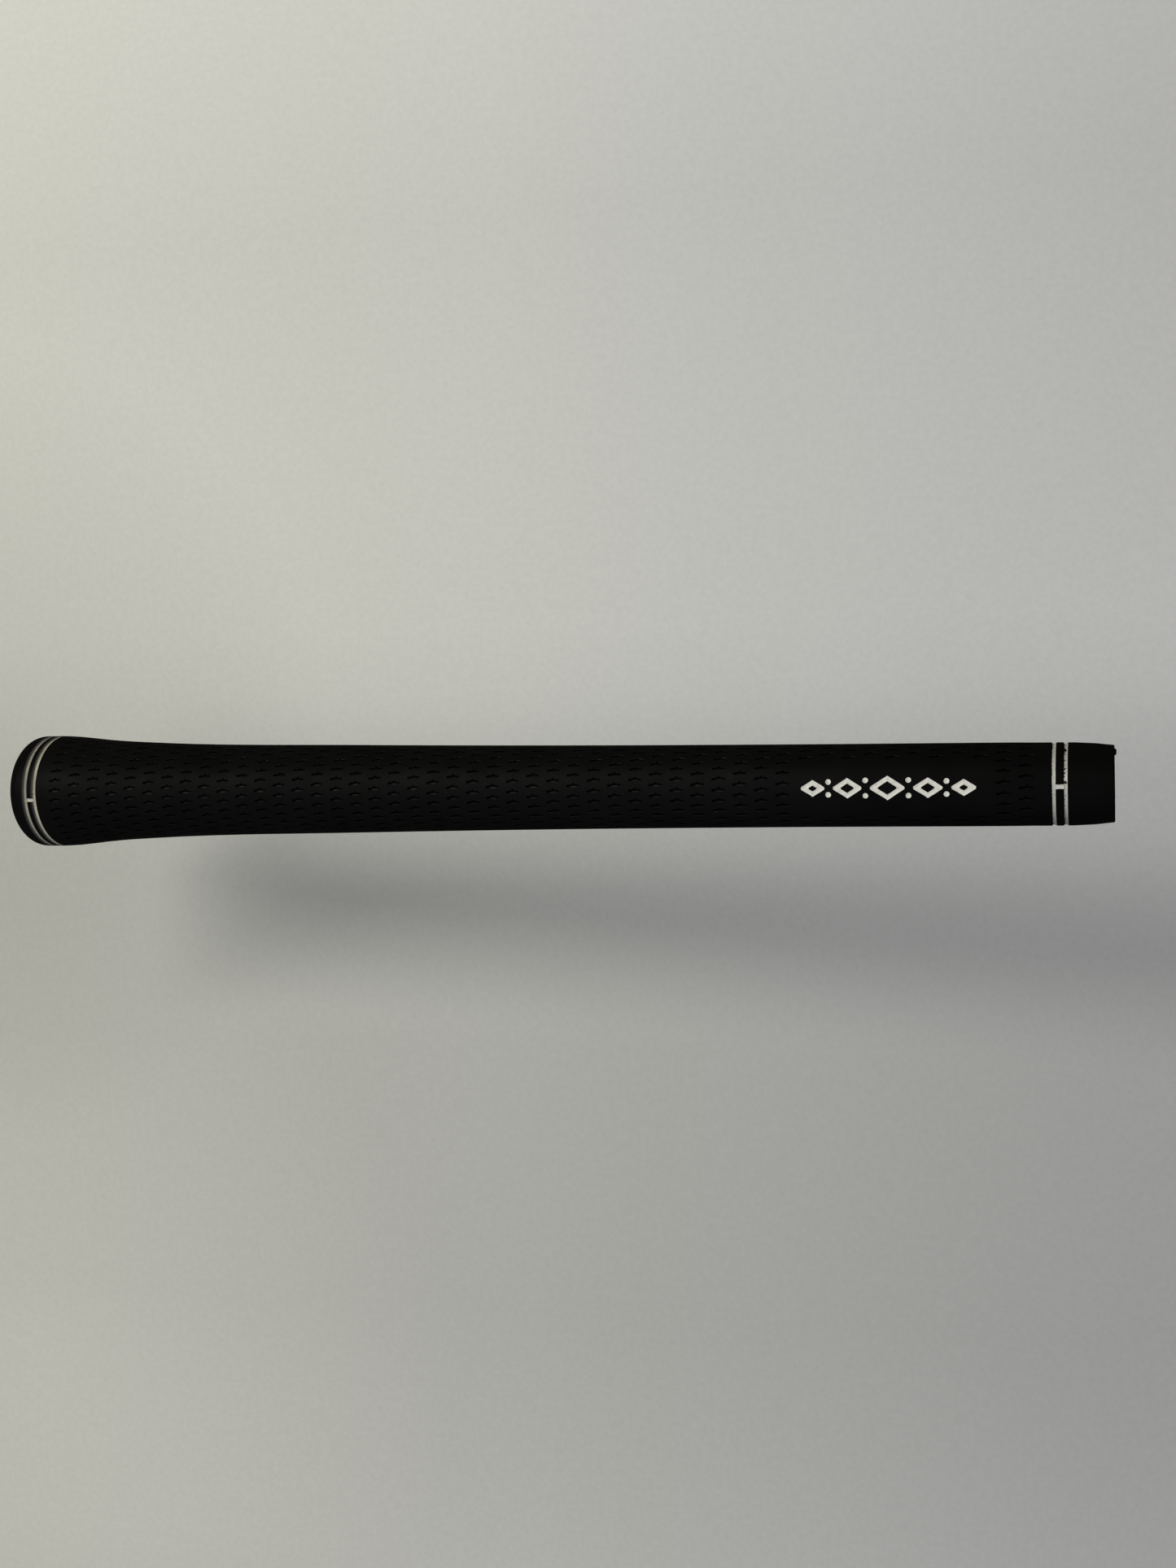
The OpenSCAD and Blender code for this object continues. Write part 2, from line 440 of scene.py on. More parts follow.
def has_slit(j, k, s, back):
    """Slits fill the rows of the column's own parity, clear of the panel and the parting line."""
    if (j + k) % 2:
        return False
    if not back and j in PANEL_COLUMNS and abs(k) <= PANEL_ROWS:
        return False
    return abs(k) * ROW_PITCH < parting_arc(s - SLIT_REACH) - PARTING_ROOM


TEXTURE_START = column_s(0) - COLUMN_PITCH / 2
RIDGE_W = 0.22
RIDGE_H = 0.05
RIDGE_FADE = 4.0


def ridge_height(s):
    """The parting line stands slightly proud, and fades out at both ends of the texture."""
    start = smooth(TEXTURE_START, TEXTURE_START + RIDGE_FADE, s)
    return RIDGE_H * start * smooth(SEAM, SEAM - RIDGE_FADE, s)


def border_arcs(s):
    """Arcs of the points on a line across the half sleeve, without the parting line."""
    limit = parting_arc(s) - RIDGE_W - BORDER_ROOM
    count = int(limit / ROW_PITCH)
    return [k * ROW_PITCH for k in range(-count, count + 1)]


def plan_half(back):
    """The plan of one half of the textured stretch, ready to be cut into triangles."""
    plan = Plan()
    lines = [TEXTURE_START]
    lines += [(column_s(j) + column_s(j + 1)) / 2 for j in range(COLUMNS - 1)]
    lines += [column_s(COLUMNS - 1) + LAST_ROOM, SEAM]

    # The outline runs round both ends and along both parting lines
    def across(s):
        edge = parting_arc(s) - RIDGE_W
        return [Vector((s, arc)) for arc in [-edge] + border_arcs(s) + [edge]]

    def ridge_line(side, offset):
        return [Vector((s, side * (parting_arc(s) - offset))) for s in lines]

    lower = ridge_line(-1, 0.0)
    upper = ridge_line(1, 0.0)
    outline = lower + across(lines[-1]) + upper[::-1] + across(lines[0])[::-1]
    depths = [-ridge_height(p.x) if abs(abs(p.y) - parting_arc(p.x)) < 0.01 else 0.0 for p in outline]
    plan.line(outline, depths, True)
    for side in (-1, 1):
        foot = ridge_line(side, RIDGE_W)[1:-1]
        plan.line(foot, [0.0] * len(foot), False)

    # Points between the columns keep the surface round
    for s in lines[1:-1]:
        for arc in border_arcs(s):
            if back or clear_of_emblem(s, arc):
                plan.dot(s, arc)

    for j in range(COLUMNS):
        s = column_s(j)
        limit = int((parting_arc(s - SLIT_REACH) - RIDGE_W - FILL_ROOM) / ROW_PITCH)
        for k in range(-limit, limit + 1):
            arc = k * ROW_PITCH
            if has_slit(j, k, s, back):
                add_slit(plan, s, arc, rough(s, arc, 9.0 if back else 3.0, 2.3))
                continue
            for step in (-FILL_STEP, 0.0, FILL_STEP):
                if back or clear_of_emblem(s + step, arc):
                    plan.dot(s + step, arc)
    if not back:
        add_emblem_recesses(plan)
    return plan


def add_half(surface, back):
    plan = plan_half(back)
    points, _, faces, sources, _, _ = delaunay_2d_cdt(plan.points, plan.edges, [], 1, 1e-5)
    first = len(surface.points)
    depths = [plan.depths[source[0]] if source else 0.0 for source in sources]
    for point, depth in zip(points, depths):
        surface.points.append(on_grip(point.x, point.y, depth, back))
    for face in faces:
        deepest = max(depths[i] for i in face)
        # The slits' shoulders take the glossier rubber and their deep cores a darker rubber, which is
        # painted shade
        if abs(deepest - SLIT_SHOULDER) < 0.01:
            surface.other_faces[len(surface.faces)] = 1
        elif abs(deepest - SLIT_DEPTH) < 0.01:
            surface.other_faces[len(surface.faces)] = 2
        surface.faces.append(tuple(first + i for i in face))


# ---------------- the sleeve

def half_arcs(s):
    """Arcs of one half's border points, parting line included."""
    edge = parting_arc(s)
    return [-edge, -edge + RIDGE_W] + border_arcs(s) + [edge - RIDGE_W]


def border_angles(s):
    """Angles of a whole ring of border points, front half first, over one turn from -90 degrees."""
    radius = outside_r(s)
    front = [arc / radius for arc in half_arcs(s)]
    return front + [angle + math.pi for angle in front]


LIP_PAST = 0.11          # the lip's end stands this far out past the plane of the mouth
LIP_SLANT = 0.03         # it isn't cut quite square
LIP_RAGGED = 0.035
NIB_ANGLE = math.radians(67)       # a nib of flash is left on it
NIB_SPREAD = math.radians(1.9)
NIB_LENGTH = 0.38
LIP_STATIONS = [0.25, 0.6, 1.3, 2.4, 3.8, 5.2, 6.6, 8.0]    # rings between the lip and the grooves


def lip_shift(angle):
    """How far the lip's end lies from the plane of the mouth, negative where it stands out."""
    ragged = LIP_RAGGED * rough(9 * math.cos(angle), 9 * math.sin(angle), 0.0, 2.0)
    away = math.remainder(angle - NIB_ANGLE, 2 * math.pi) / NIB_SPREAD
    return LIP_SLANT * math.sin(angle) - LIP_PAST + ragged - NIB_LENGTH * math.exp(-away * away)


def mouth_angles():
    """Angles of the points round the mouth, with extra ones at the index mark and the nib."""
    radius = outside_r(MOUTH_RINGS[0][1])
    extra = [side * t / radius for t in (TICK_HALF, TICK_HALF - WALL_RUN) for side in (-1, 1)]
    extra += [NIB_ANGLE + math.radians(d) for d in (-4.5, -3, -1.5, 0, 1.5, 3, 4.5)]
    return sorted(set(border_angles(TEXTURE_START)) | set(extra))


def mouth_groove_depth(s, angle):
    """Depth of the two ring grooves and the index mark's slot at a place near the mouth."""
    near = abs(math.remainder(angle, 2 * math.pi)) * outside_r(s) < TICK_HALF - WALL_RUN / 2
    if near and MOUTH_RINGS[0][0] < s < MOUTH_RINGS[1][1]:
        return GROOVE_DEPTH
    for low, high in MOUTH_RINGS:
        if low + WALL_RUN / 2 < s < high - GROOVE_SLOPE / 2:
            return GROOVE_DEPTH
    return 0.0


def build_sleeve():
    surface = Surface()
    add_half(surface, False)
    add_half(surface, True)
    angles = mouth_angles()

    # End face of the lip with its rounded edges, as (radius, s)
    lip_r = outside_r(0)
    face = ((SHAFT_R, 0.18), (SHAFT_R + 0.15, 0.02), (lip_r - 0.27, 0.0), (lip_r - 0.09, 0.05))
    loops = [[on_circle(r, s + lip_shift(a), a) for a in angles] for r, s in face]

    # The smooth stretch from the lip to the texture, with its two ring grooves and index mark
    stations = list(LIP_STATIONS)
    for low, high in MOUTH_RINGS:
        stations += [low, low + WALL_RUN, high - GROOVE_SLOPE, high]
    (_, lower_end), (upper_start, upper_end) = MOUTH_RINGS
    stations += [(lower_end + upper_start) / 2, upper_end + 0.8, upper_end + 1.7]
    for s in sorted(stations):
        fade = smooth(1.6, 0.2, s)
        loops.append([
            on_circle(outside_r(s) - mouth_groove_depth(s, a), s + fade * lip_shift(a), a) for a in angles
        ])
    made = surface.loft(loops)
    start_angles = border_angles(TEXTURE_START)
    start = surface.ring(turned(outside_r(TEXTURE_START), TEXTURE_START, start_angles))
    surface.bridge(made[-1], angles, start, start_angles)

    # Inside: the parallel land, the cone and the core, up to the skirt's counterbore
    bore = [turned(SHAFT_R, LAND_LEN, angles), turned(CORE_R, CORE_START, angles)]
    bore += [turned(CORE_R, SKIRT_END, angles), turned(SKIRT_R, SKIRT_END, angles)]
    bore += [turned(SKIRT_R, SEAM, angles)]
    inner = surface.loft(bore)
    surface.join(made[0], inner[0])
    end_angles = [a - twist(SEAM) for a in border_angles(SEAM)]
    end = surface.ring(turned(outside_r(SEAM), SEAM, end_angles))
    surface.bridge(inner[-1], angles, end, end_angles)
    return make_piece("grip_sleeve_textured", surface, 32)


# ---------------- the end cap

CAP_STEPS = 180          # points round the cap
EDGE_STEPS = 16          # rings over its rounded edge
FACE_RINGS = (0.9, 0.75, 0.55, 0.38, 0.26, 0.18)    # and over its face, as parts of the face's radius


def build_cap():
    """Crowned disc with a rounded edge, two ring grooves, an index slot, a vent and a skirt."""
    (_, inner_high), (outer_low, outer_high) = BUTT_RINGS
    floor_end = outer_high - GROOVE_SLOPE / 2
    angles = {2 * math.pi * k / CAP_STEPS for k in range(CAP_STEPS)}
    angles |= {side * t / CAP_R for t in (TICK_HALF, TICK_HALF - WALL_RUN) for side in (-1, 1)}
    angles = sorted(a % (2 * math.pi) for a in angles)

    def placed(r, s):
        return turned(r, s, [a - BUTT_TWIST for a in angles])

    def cap_ring(s):
        in_ring = s < inner_high - GROOVE_SLOPE / 2 or outer_low + WALL_RUN / 2 < s < floor_end
        points = []
        for a in angles:
            near = abs(math.remainder(a, 2 * math.pi)) * CAP_R < TICK_HALF - WALL_RUN / 2
            sunk = in_ring or (near and s < floor_end)
            points.append(on_circle(outside_r(s) - (GROOVE_DEPTH if sunk else 0.0), s, a - BUTT_TWIST))
        return points

    edge_s = CROWN - CAP_CROWN - CAP_EDGE_R
    face_r = CAP_R - CAP_EDGE_R
    loops = [placed(CORE_R, SEAT), placed(CORE_R, SKIRT_END), placed(SKIRT_R, SKIRT_END)]
    loops += [placed(SKIRT_R, SEAM)]
    stations = [SEAM, inner_high - GROOVE_SLOPE, inner_high, (inner_high + outer_low) / 2]
    stations += [outer_low, outer_low + WALL_RUN, outer_high - GROOVE_SLOPE, outer_high]
    stations += [outer_high + 0.7]
    loops += [cap_ring(s) for s in stations]
    for k in range(EDGE_STEPS + 1):
        a = math.pi / 2 * k / EDGE_STEPS
        loops.append(placed(face_r + CAP_EDGE_R * math.cos(a), edge_s + CAP_EDGE_R * math.sin(a)))
    for part in FACE_RINGS:
        loops.append(placed(face_r * part, CROWN - CAP_CROWN * part * part))
    loops += [placed(VENT_R + 0.25, CROWN - 0.03), placed(VENT_R, CROWN - 0.18), placed(VENT_R, SEAT)]
    surface = Surface()
    surface.loft(loops, close=True)
    return make_piece("end_cap_moulded", surface, 40)


# ---------------- the paint

PAINT_ACROSS = (0.0, 0.06, 0.14, 0.25, 0.42, 0.6, 0.78, 0.92, 1.0)
PAINT_STEPS = 400        # points round a ring's paint
GROOVE_KEY = 0.06        # paint reaches this far under a groove's floor
EMBLEM_KEY = 0.05        # and this far under the floor of an emblem's recess
RIM_DEPTH = 0.02         # depth of a ring's paint at the mouth-side rim
FEATHER = 0.012          # it ends this much proud of the sloping wall
FLECK_LIMIT = 0.95       # the lower, the more flecks of grime on the paint
FLECK_WEAR = 4.5         # how much worn paint adds to them


def ring_paint_depth(part, deepest):
    """Paint in a ring groove hangs from the mouth-side rim and lies deeper at the butt side."""
    return RIM_DEPTH + (deepest - RIM_DEPTH) * smooth(-0.12, 0.62, part)


def trough(part, level):
    """Depth of a hollow paint surface with two equal sides; level scales its deepest part."""
    from_edge = min(part, 1 - part)
    return level * smooth(0.0, 0.35, from_edge)


def ragged_edge(x, y, z):
    """How far paint runs over a rim, and how deep it stays where it falls short."""
    n = 0.65 * rough(x, y, z, 0.55) + 0.5 * rough(x + 40, y, z, 1.7) + 0.12
    return max(0.085 * n, -0.005), max(-0.12 * n, -0.008)


def worn(amounts, angle, s):
    """Extra depth where paint has come away, from a list of (degrees, spread, amount)."""
    total = 0.0
    for degrees, spread, amount in amounts:
        away = math.remainder(angle - math.radians(degrees), 2 * math.pi) / math.radians(spread)
        patch = 0.6 + 0.8 * rough(s * 3, math.degrees(angle), 5.0, 3.1)
        total += amount * patch * math.exp(-away * away)
    return total


def build_ring(name, span, turn, deepest, climb, wear=()):
    """Paint in a ring groove: a hollow surface with ragged edges, worn and flecked in places.

    It climbs the sloping butt-side wall by about the stated distance.
    """
    low, high = span
    slope = GROOVE_DEPTH / GROOVE_SLOPE
    loops = [[] for _ in PAINT_ACROSS]
    under = [[], []]
    surface = Surface()
    for k in range(PAINT_STEPS):
        angle = 2 * math.pi * k / PAINT_STEPS
        x, y, z = on_circle(outside_r(low), low, angle)
        over, short = ragged_edge(x, y, z)
        start = low - over
        uneven = 0.077 * rough(x, y + 30, z, 0.6) + 0.056 * rough(x, y + 60, z, 1.9)
        end = high - GROOVE_SLOPE + min(max(climb + uneven, 0.01), GROOVE_SLOPE + 0.03)
        for i, part in enumerate(PAINT_ACROSS):
            s = start + (end - start) * part
            px, py, pz = on_circle(outside_r(s), s, angle)
            depth = ring_paint_depth(part, deepest)
            depth += 0.03 * rough(px, py, pz, 1.4) * math.sin(math.pi * part)
            depth += worn(wear, angle, s) * (0.35 if part in (0.0, 1.0) else 1.0)
            wall = (high - s) * slope
            if part == 0.0:
                depth += short
            elif part == 1.0:
                depth = max(wall, 0.0) - FEATHER
            if part > 0.5:
                depth = min(depth, wall + 0.02)
            depth = min(depth, GROOVE_DEPTH + 0.05)
            loops[i].append(on_circle(outside_r(s) - depth, s, angle - turn))
            fleck = rough(px, py, pz, 0.32) + 0.6 * rough(px, py + 70, pz, 0.8)
            if i and fleck > FLECK_LIMIT - (FLECK_WEAR * worn(wear, angle, s) + 0.3) * part:
                surface.other_faces[i * PAINT_STEPS + k] = 1
        for line, s in zip(under, (low, high - GROOVE_SLOPE / 2)):
            line.append(on_circle(outside_r(s) - GROOVE_DEPTH - GROOVE_KEY, s, angle - turn))
    surface.loft([under[0]] + loops + [under[1]], close=True)
    return make_piece(name, surface, 60)


TICK_ROWS = 9
TICK_HOLLOW = 0.15       # depth of the tick's paint in its middle
TICK_OVERLAP = 0.12      # it runs this far into the upper ring's paint


def build_tick(name, spans, turn, half):
    """Paint in the short slot between two rings, its ends run into the rings' paint."""
    (_, low), (high, _) = spans
    low -= GROOVE_SLOPE
    high += TICK_OVERLAP
    surface = Surface()
    top = []
    for i in range(TICK_ROWS):
        s = low + (high - low) * i / (TICK_ROWS - 1)
        line = []
        for part in PAINT_ACROSS:
            arc = (part - 0.5) * 2 * half
            x, y, z = on_circle(outside_r(s), s, arc / outside_r(s))
            depth = TICK_HOLLOW * trough(part, 1 + 0.2 * rough(x, y, z, 0.9))
            if part in (0.0, 1.0):
                over, short = ragged_edge(x, y + 5, z)
                arc += over if part else -over
                depth += short
            line.append(on_circle(outside_r(s) - depth, s, arc / outside_r(s) - turn))
        top.append(line)
    lower = []
    for line in top:
        radius = outside_r(-line[0].x) - GROOVE_DEPTH - GROOVE_KEY
        lower.append([Vector((p.x, 0, 0)) + Vector((0, p.y, p.z)).normalized() * radius for p in line])
    loops = [top_line + low_line[::-1] for top_line, low_line in zip(top, lower)]
    made = surface.loft(loops)
    surface.faces.append(tuple(made[0]))
    surface.faces.append(tuple(made[-1]))
    return make_piece(name, surface, 60)


SHADED_INSET = 0.20      # on a stroke's butt side the paint stays this far from the wall
SHADED_DEPTH = 0.20      # and this much deeper
EMBLEM_OVER = 0.8        # paint runs over the emblem's rims by this part of what it does on the rings
STROKE_HOLLOW = 0.13     # depth of the paint in the middle of a stroke
DOT_HOLLOW = 0.16        # and of a dot
PAINT_GRAIN = 0.012      # unevenness of that paint
DOT_RINGS = (0.0, 0.12, 0.3, 0.5, 0.75)    # from a dot's rim to its middle


def outward(outline, i):
    """The direction in (s, arc) that a counter-clockwise outline faces at point i."""
    along = (outline[(i + 1) % len(outline)] - outline[i - 1]).normalized()
    return Vector((along.y, -along.x))


def build_emblem():
    """The emblem's paint: shallow hollow strokes in lozenges and dots, ragged at the rims."""
    surface = Surface()

    for centre, half_len, half_height in LOZENGES:
        outer = lozenge(centre, half_len, half_height, 0.0, OUTER_ROUND)
        inner = lozenge(centre, half_len, half_height, EMBLEM_STROKE, INNER_ROUND)
        loops = [[] for _ in PAINT_ACROSS]
        for i, (a, b) in enumerate(zip(outer, inner)):
            butt_side = max(outward(outer, i).x, 0.0)
            mouth_side = max(-outward(outer, i).x, 0.0)
            over_a, short_a = ragged_edge(a.x, a.y, 3.0)
            over_b, short_b = ragged_edge(b.x, b.y, 6.0)
            first = (SHADED_INSET * butt_side - EMBLEM_OVER * over_a) / EMBLEM_STROKE
            last = 1 - (SHADED_INSET * mouth_side - EMBLEM_OVER * over_b) / EMBLEM_STROKE
            for k, part in enumerate(PAINT_ACROSS):
                q = a.lerp(b, first + (last - first) * part)
                lean = SHADED_DEPTH * (butt_side * (1 - part) + mouth_side * part)
                depth = lean + trough(part, STROKE_HOLLOW) + PAINT_GRAIN * rough(q.x, q.y, 4.0, 0.3)
                depth += short_a if part == 0.0 else short_b if part == 1.0 else 0.0
                loops[k].append(on_grip(q.x, q.y, min(depth, GROOVE_DEPTH)))
        for flat in (inner, outer):
            loops.append([on_grip(p.x, p.y, GROOVE_DEPTH + EMBLEM_KEY) for p in flat])
        surface.loft(loops, close=True)

    def painted(loop, depth, rim):
        """Puts a flat circle on the grip, with a ragged edge if it is the rim."""
        points = []
        for i, q in enumerate(loop):
            extra = PAINT_GRAIN * rough(q.x, q.y, 4.0, 0.3)
            if rim:
                over, extra = ragged_edge(q.x, q.y, 3.0)
                q = q + outward(loop, i) * over * EMBLEM_OVER
            points.append(on_grip(q.x, q.y, min(depth + extra, GROOVE_DEPTH)))
        return points

    for s, arc in DOTS:
        footprint = circle(s, arc, EMBLEM_DOT_R)
        base = surface.ring([on_grip(p.x, p.y, GROOVE_DEPTH + EMBLEM_KEY) for p in footprint])
        loops = []
        for part in DOT_RINGS:
            flat = circle(s, arc, EMBLEM_DOT_R * (1 - part))
            loops.append(painted(flat, trough(part / 2, DOT_HOLLOW), part == 0))
        made = surface.loft(loops)
        surface.join(base, made[0])
        surface.fan(made[-1], on_grip(s, arc, DOT_HOLLOW))
        surface.fan(base[::-1], on_grip(s, arc, GROOVE_DEPTH + EMBLEM_KEY))
    return make_piece("front_emblem_paint", surface, 60)


# ---------------- materials

def grey(value, warmth=0.0):
    return (value * (1 + warmth), value, value * (1 - warmth), 1.0)


class Shading:
    """Adds nodes to a material or a world; each method gives the new node's output."""

    def __init__(self, tree):
        self.nodes = tree.nodes
        self.links = tree.links
        self.coords = tree.nodes.new("ShaderNodeTexCoord").outputs

    def link(self, source, socket):
        self.links.new(source, socket)

    def feed(self, value, socket):
        """Sets a socket to a number, or links another node's output to it."""
        if isinstance(value, float):
            socket.default_value = value
        else:
            self.link(value, socket)

    def noise(self, scale, detail, rough_part):
        node = self.nodes.new("ShaderNodeTexNoise")
        node.inputs["Scale"].default_value = scale
        node.inputs["Detail"].default_value = detail
        node.inputs["Roughness"].default_value = rough_part
        self.link(self.coords["Object"], node.inputs["Vector"])
        return node.outputs["Fac"]

    def ramp(self, source, stops):
        node = self.nodes.new("ShaderNodeValToRGB")
        ramp = node.color_ramp
        ramp.elements[0].position, ramp.elements[0].color = stops[0]
        ramp.elements[1].position, ramp.elements[1].color = stops[-1]
        for position, colour in stops[1:-1]:
            ramp.elements.new(position).color = colour
        self.link(source, node.inputs["Fac"])
        return node.outputs["Color"]

    def axes(self, system="Object"):
        """The X, Y and Z outputs of a place's coordinates."""
        node = self.nodes.new("ShaderNodeSeparateXYZ")
        self.link(self.coords[system], node.inputs["Vector"])
        return node.outputs

    def along(self, axis, stops):
        """Ramp along an axis; its stops are (place in metres, colour), from the lowest place up."""
        low, high = stops[0][0], stops[-1][0]
        node = self.nodes.new("ShaderNodeMapRange")
        node.inputs["From Min"].default_value = low
        node.inputs["From Max"].default_value = high
        self.link(self.axes()[axis], node.inputs["Value"])
        parts = [((place - low) / (high - low), colour) for place, colour in stops]
        return self.ramp(node.outputs["Result"], parts)

    def away_from(self, x, y):
        """Distance from a vertical line through (x, y)."""
        flat = self.nodes.new("ShaderNodeCombineXYZ")
        axes = self.axes()
        self.link(axes["X"], flat.inputs["X"])
        self.link(axes["Y"], flat.inputs["Y"])
        node = self.nodes.new("ShaderNodeVectorMath")
        node.operation = "DISTANCE"
        self.link(flat.outputs["Vector"], node.inputs[0])
        node.inputs[1].default_value = (x, y, 0.0)
        return node.outputs["Value"]

    def bump(self, height, strength, distance, under=None):
        node = self.nodes.new("ShaderNodeBump")
        node.inputs["Strength"].default_value = strength
        node.inputs["Distance"].default_value = distance
        self.link(height, node.inputs["Height"])
        if under is not None:
            self.link(under, node.inputs["Normal"])
        return node.outputs["Normal"]

    def maths(self, operation, first, second):
        """A maths node, whose two values may each be a number or another node's output."""
        node = self.nodes.new("ShaderNodeMath")
        node.operation = operation
        self.feed(first, node.inputs[0])
        self.feed(second, node.inputs[1])
        return node.outputs["Value"]

    def mix(self, blend, a, b):
        """Two colours added or multiplied in full."""
        node = self.nodes.new("ShaderNodeMix")
        node.data_type = "RGBA"
        node.blend_type = blend
        node.inputs["Factor"].default_value = 1.0
        self.link(a, node.inputs["A"])
        self.link(b, node.inputs["B"])
        return node.outputs["Result"]


def new_material(name):
    """A new material, its node builder and its shader's inputs."""
    material = bpy.data.materials.new(name)
    material.use_nodes = True
    return material, Shading(material.node_tree), material.node_tree.nodes["Principled BSDF"].inputs


# How far a stain reaches from the rim, in millimetres, and its tone there: rubbed-in paint, partly painted
# shade that stands for a dim shaded painted wall
STAIN_AND_SHADE = [(0.65, 0.0), (0.4, 0.010), (0.2, 0.028), (0.0, 0.055), (-0.2, 0.055), (-0.4, 0.0)]
SHEEN_FALLOFF = 3.3      # how fast the rubber's sheen dies away towards a grazing view
SHEEN_LEFT = 0.020       # and what is left of it there
LIP_SHEEN = 0.55         # part of the sheen that a matt lip has
MATT_FROM, MATT_TO = 36.0, 75.0    # distances from the mouth between which that sheen comes back


def rubber_material(name, tone, roughness, specular, stains_and_shade=(), matt_lip=False):
    """Moulded black rubber: cloudy tone, a fine mould grain and uneven gloss where it has been held.

    Tone and roughness are pairs of extremes. Stains and shade are distances from the mouth, in
    millimetres, of rims beside which paint has rubbed in and painted shade of a dim painted wall lies. A
    matt lip has less sheen near the mouth.
    """
    material, shading, inputs = new_material(name)
    clouds = shading.noise(90.0, 4.0, 0.6)
    colour = shading.ramp(clouds, [(0.3, grey(tone[0], 0.06)), (0.75, grey(tone[1], 0.06))])
    # Beside the rims a dim grey band is added: rubbed-in paint, partly painted shade of a shaded painted
    # wall
    if stains_and_shade:
        stops = []
        for rim in sorted(stains_and_shade, reverse=True):
            stops += [(-(rim + fade) * MM, grey(value, 0.04)) for fade, value in STAIN_AND_SHADE]
        colour = shading.mix("ADD", colour, shading.along("X", stops))
    shading.link(colour, inputs["Base Color"])
    variation = shading.noise(160.0, 3.0, 0.55)
    gloss = shading.ramp(variation, [(0.3, grey(roughness[0])), (0.7, grey(roughness[1]))])
    shading.link(gloss, inputs["Roughness"])
    grain = shading.bump(shading.noise(6500.0, 2.0, 0.6), 0.35, 0.00004)
    skin = shading.bump(shading.noise(900.0, 2.0, 0.5), 0.25, 0.0001, grain)
    shading.link(skin, inputs["Normal"])
    layer = shading.nodes.new("ShaderNodeLayerWeight")
    square_on = shading.maths("SUBTRACT", 1.0, layer.outputs["Facing"])
    sheen = shading.maths("ADD", shading.maths("POWER", square_on, SHEEN_FALLOFF), SHEEN_LEFT)
    if matt_lip:
        stops = [(-MATT_TO * MM, grey(1.0)), (-MATT_FROM * MM, grey(LIP_SHEEN))]
        sheen = shading.maths("MULTIPLY", sheen, shading.along("X", stops))
    shading.link(shading.maths("MULTIPLY", sheen, specular), inputs["Specular IOR Level"])
    return material


# Grime and painted shade across a ring's paint, darkest on the butt-side wall, from its mouth-side edge:
# distance in millimetres and what is left
BUTT_GRIME_AND_SHADE = [(1.1, 0.22), (0.9, 0.42), (0.7, 0.85), (0.5, 1.0)]
UPPER_GRIME_AND_SHADE = [(1.1, 0.30), (0.85, 0.60), (0.6, 0.96), (0.4, 1.0)]
LOWER_GRIME_AND_SHADE = [(1.1, 0.16), (0.85, 0.42), (0.6, 0.90), (0.4, 1.0)]

# Painted light and shade round a ring's paint, for how light falls across it: place along Y in millimetres
# and what is left there
MOUTH_LIGHT_AND_SHADE = [
    (-8, 0.46), (-6.2, 0.70), (-3.5, 0.86), (-0.8, 0.92), (1.7, 1.15), (4.5, 0.90), (7.2, 0.74), (9, 0.80),
]
BUTT_LIGHT_AND_SHADE = [(-8, 0.95), (-4, 1.10), (0, 0.85), (3, 0.72), (6.5, 1.10), (9.5, 0.85)]


def paint_material(name, brightness, warmth, span=(), grime=(), variation=()):
    """Cream paint with a chalky mottle; given a span, darkened across a ring by grime and painted shade,
    and given painted light and shade round it.
    """
    material, shading, inputs = new_material(name)

    def cream(value):
        level = value * brightness
        return (level, level * (1 - 0.2 * warmth), level * (1 - warmth), 1.0)

    mottle = shading.noise(1400.0, 4.0, 0.65)
    colour = shading.ramp(mottle, [(0.25, cream(0.55)), (0.40, cream(0.9)), (0.7, cream(1.05))])
    # Across a ring: grime and painted shade on its butt-side wall. Round it: painted light and shade.
    if span:
        across = [(-(span[0] + distance) * MM, grey(left)) for distance, left in grime]
        colour = shading.mix("MULTIPLY", colour, shading.along("X", across))
        round_it = [(y * MM, grey(left)) for y, left in variation]
        colour = shading.mix("MULTIPLY", colour, shading.along("Y", round_it))
    shading.link(colour, inputs["Base Color"])
    pits = shading.noise(3800.0, 2.0, 0.5)
    shading.link(shading.ramp(pits, [(0.3, grey(0.55)), (0.7, grey(0.75))]), inputs["Roughness"])
    shading.link(shading.bump(pits, 0.4, 0.00006), inputs["Normal"])
    inputs["Specular IOR Level"].default_value = 0.3
    return material


# Painted light on the paper along Y and along X: (place in metres, colour), brighter and warmer towards
# the back left and darker in front of the grip as a broad painted shadow. The two and the patches below
# are multiplied.
PAPER_LIGHT_DEPTHWISE = [
    (-0.225, grey(0.66)), (-0.15, grey(0.58)), (-0.075, grey(0.57)), (-0.025, grey(0.618)),
    (0.02, grey(0.725)), (0.04, grey(0.757)), (0.08, grey(0.732)), (0.15, grey(0.685)),
    (0.235, grey(0.745)),
]
PAPER_LIGHT_SIDEWAYS = [
    (-0.42, (0.924, 0.911, 0.79, 1.0)), (-0.158, (0.985, 0.98, 0.90, 1.0)),
    (-0.072, (0.955, 0.95, 0.905, 1.0)), (0.005, (0.91, 0.90, 0.87, 1.0)),
    (0.10, (0.905, 0.885, 0.85, 1.0)),
]
# Patches of painted shadow and painted light on the paper: (x, y, reach) in metres, and tone against the
# rest
PAPER_LIGHT_PATCHES = [(-0.33, 0.01, 0.12, 0.78), (-0.31, -0.17, 0.13, 1.16), (0.0, -0.17, 0.20, 0.93)]


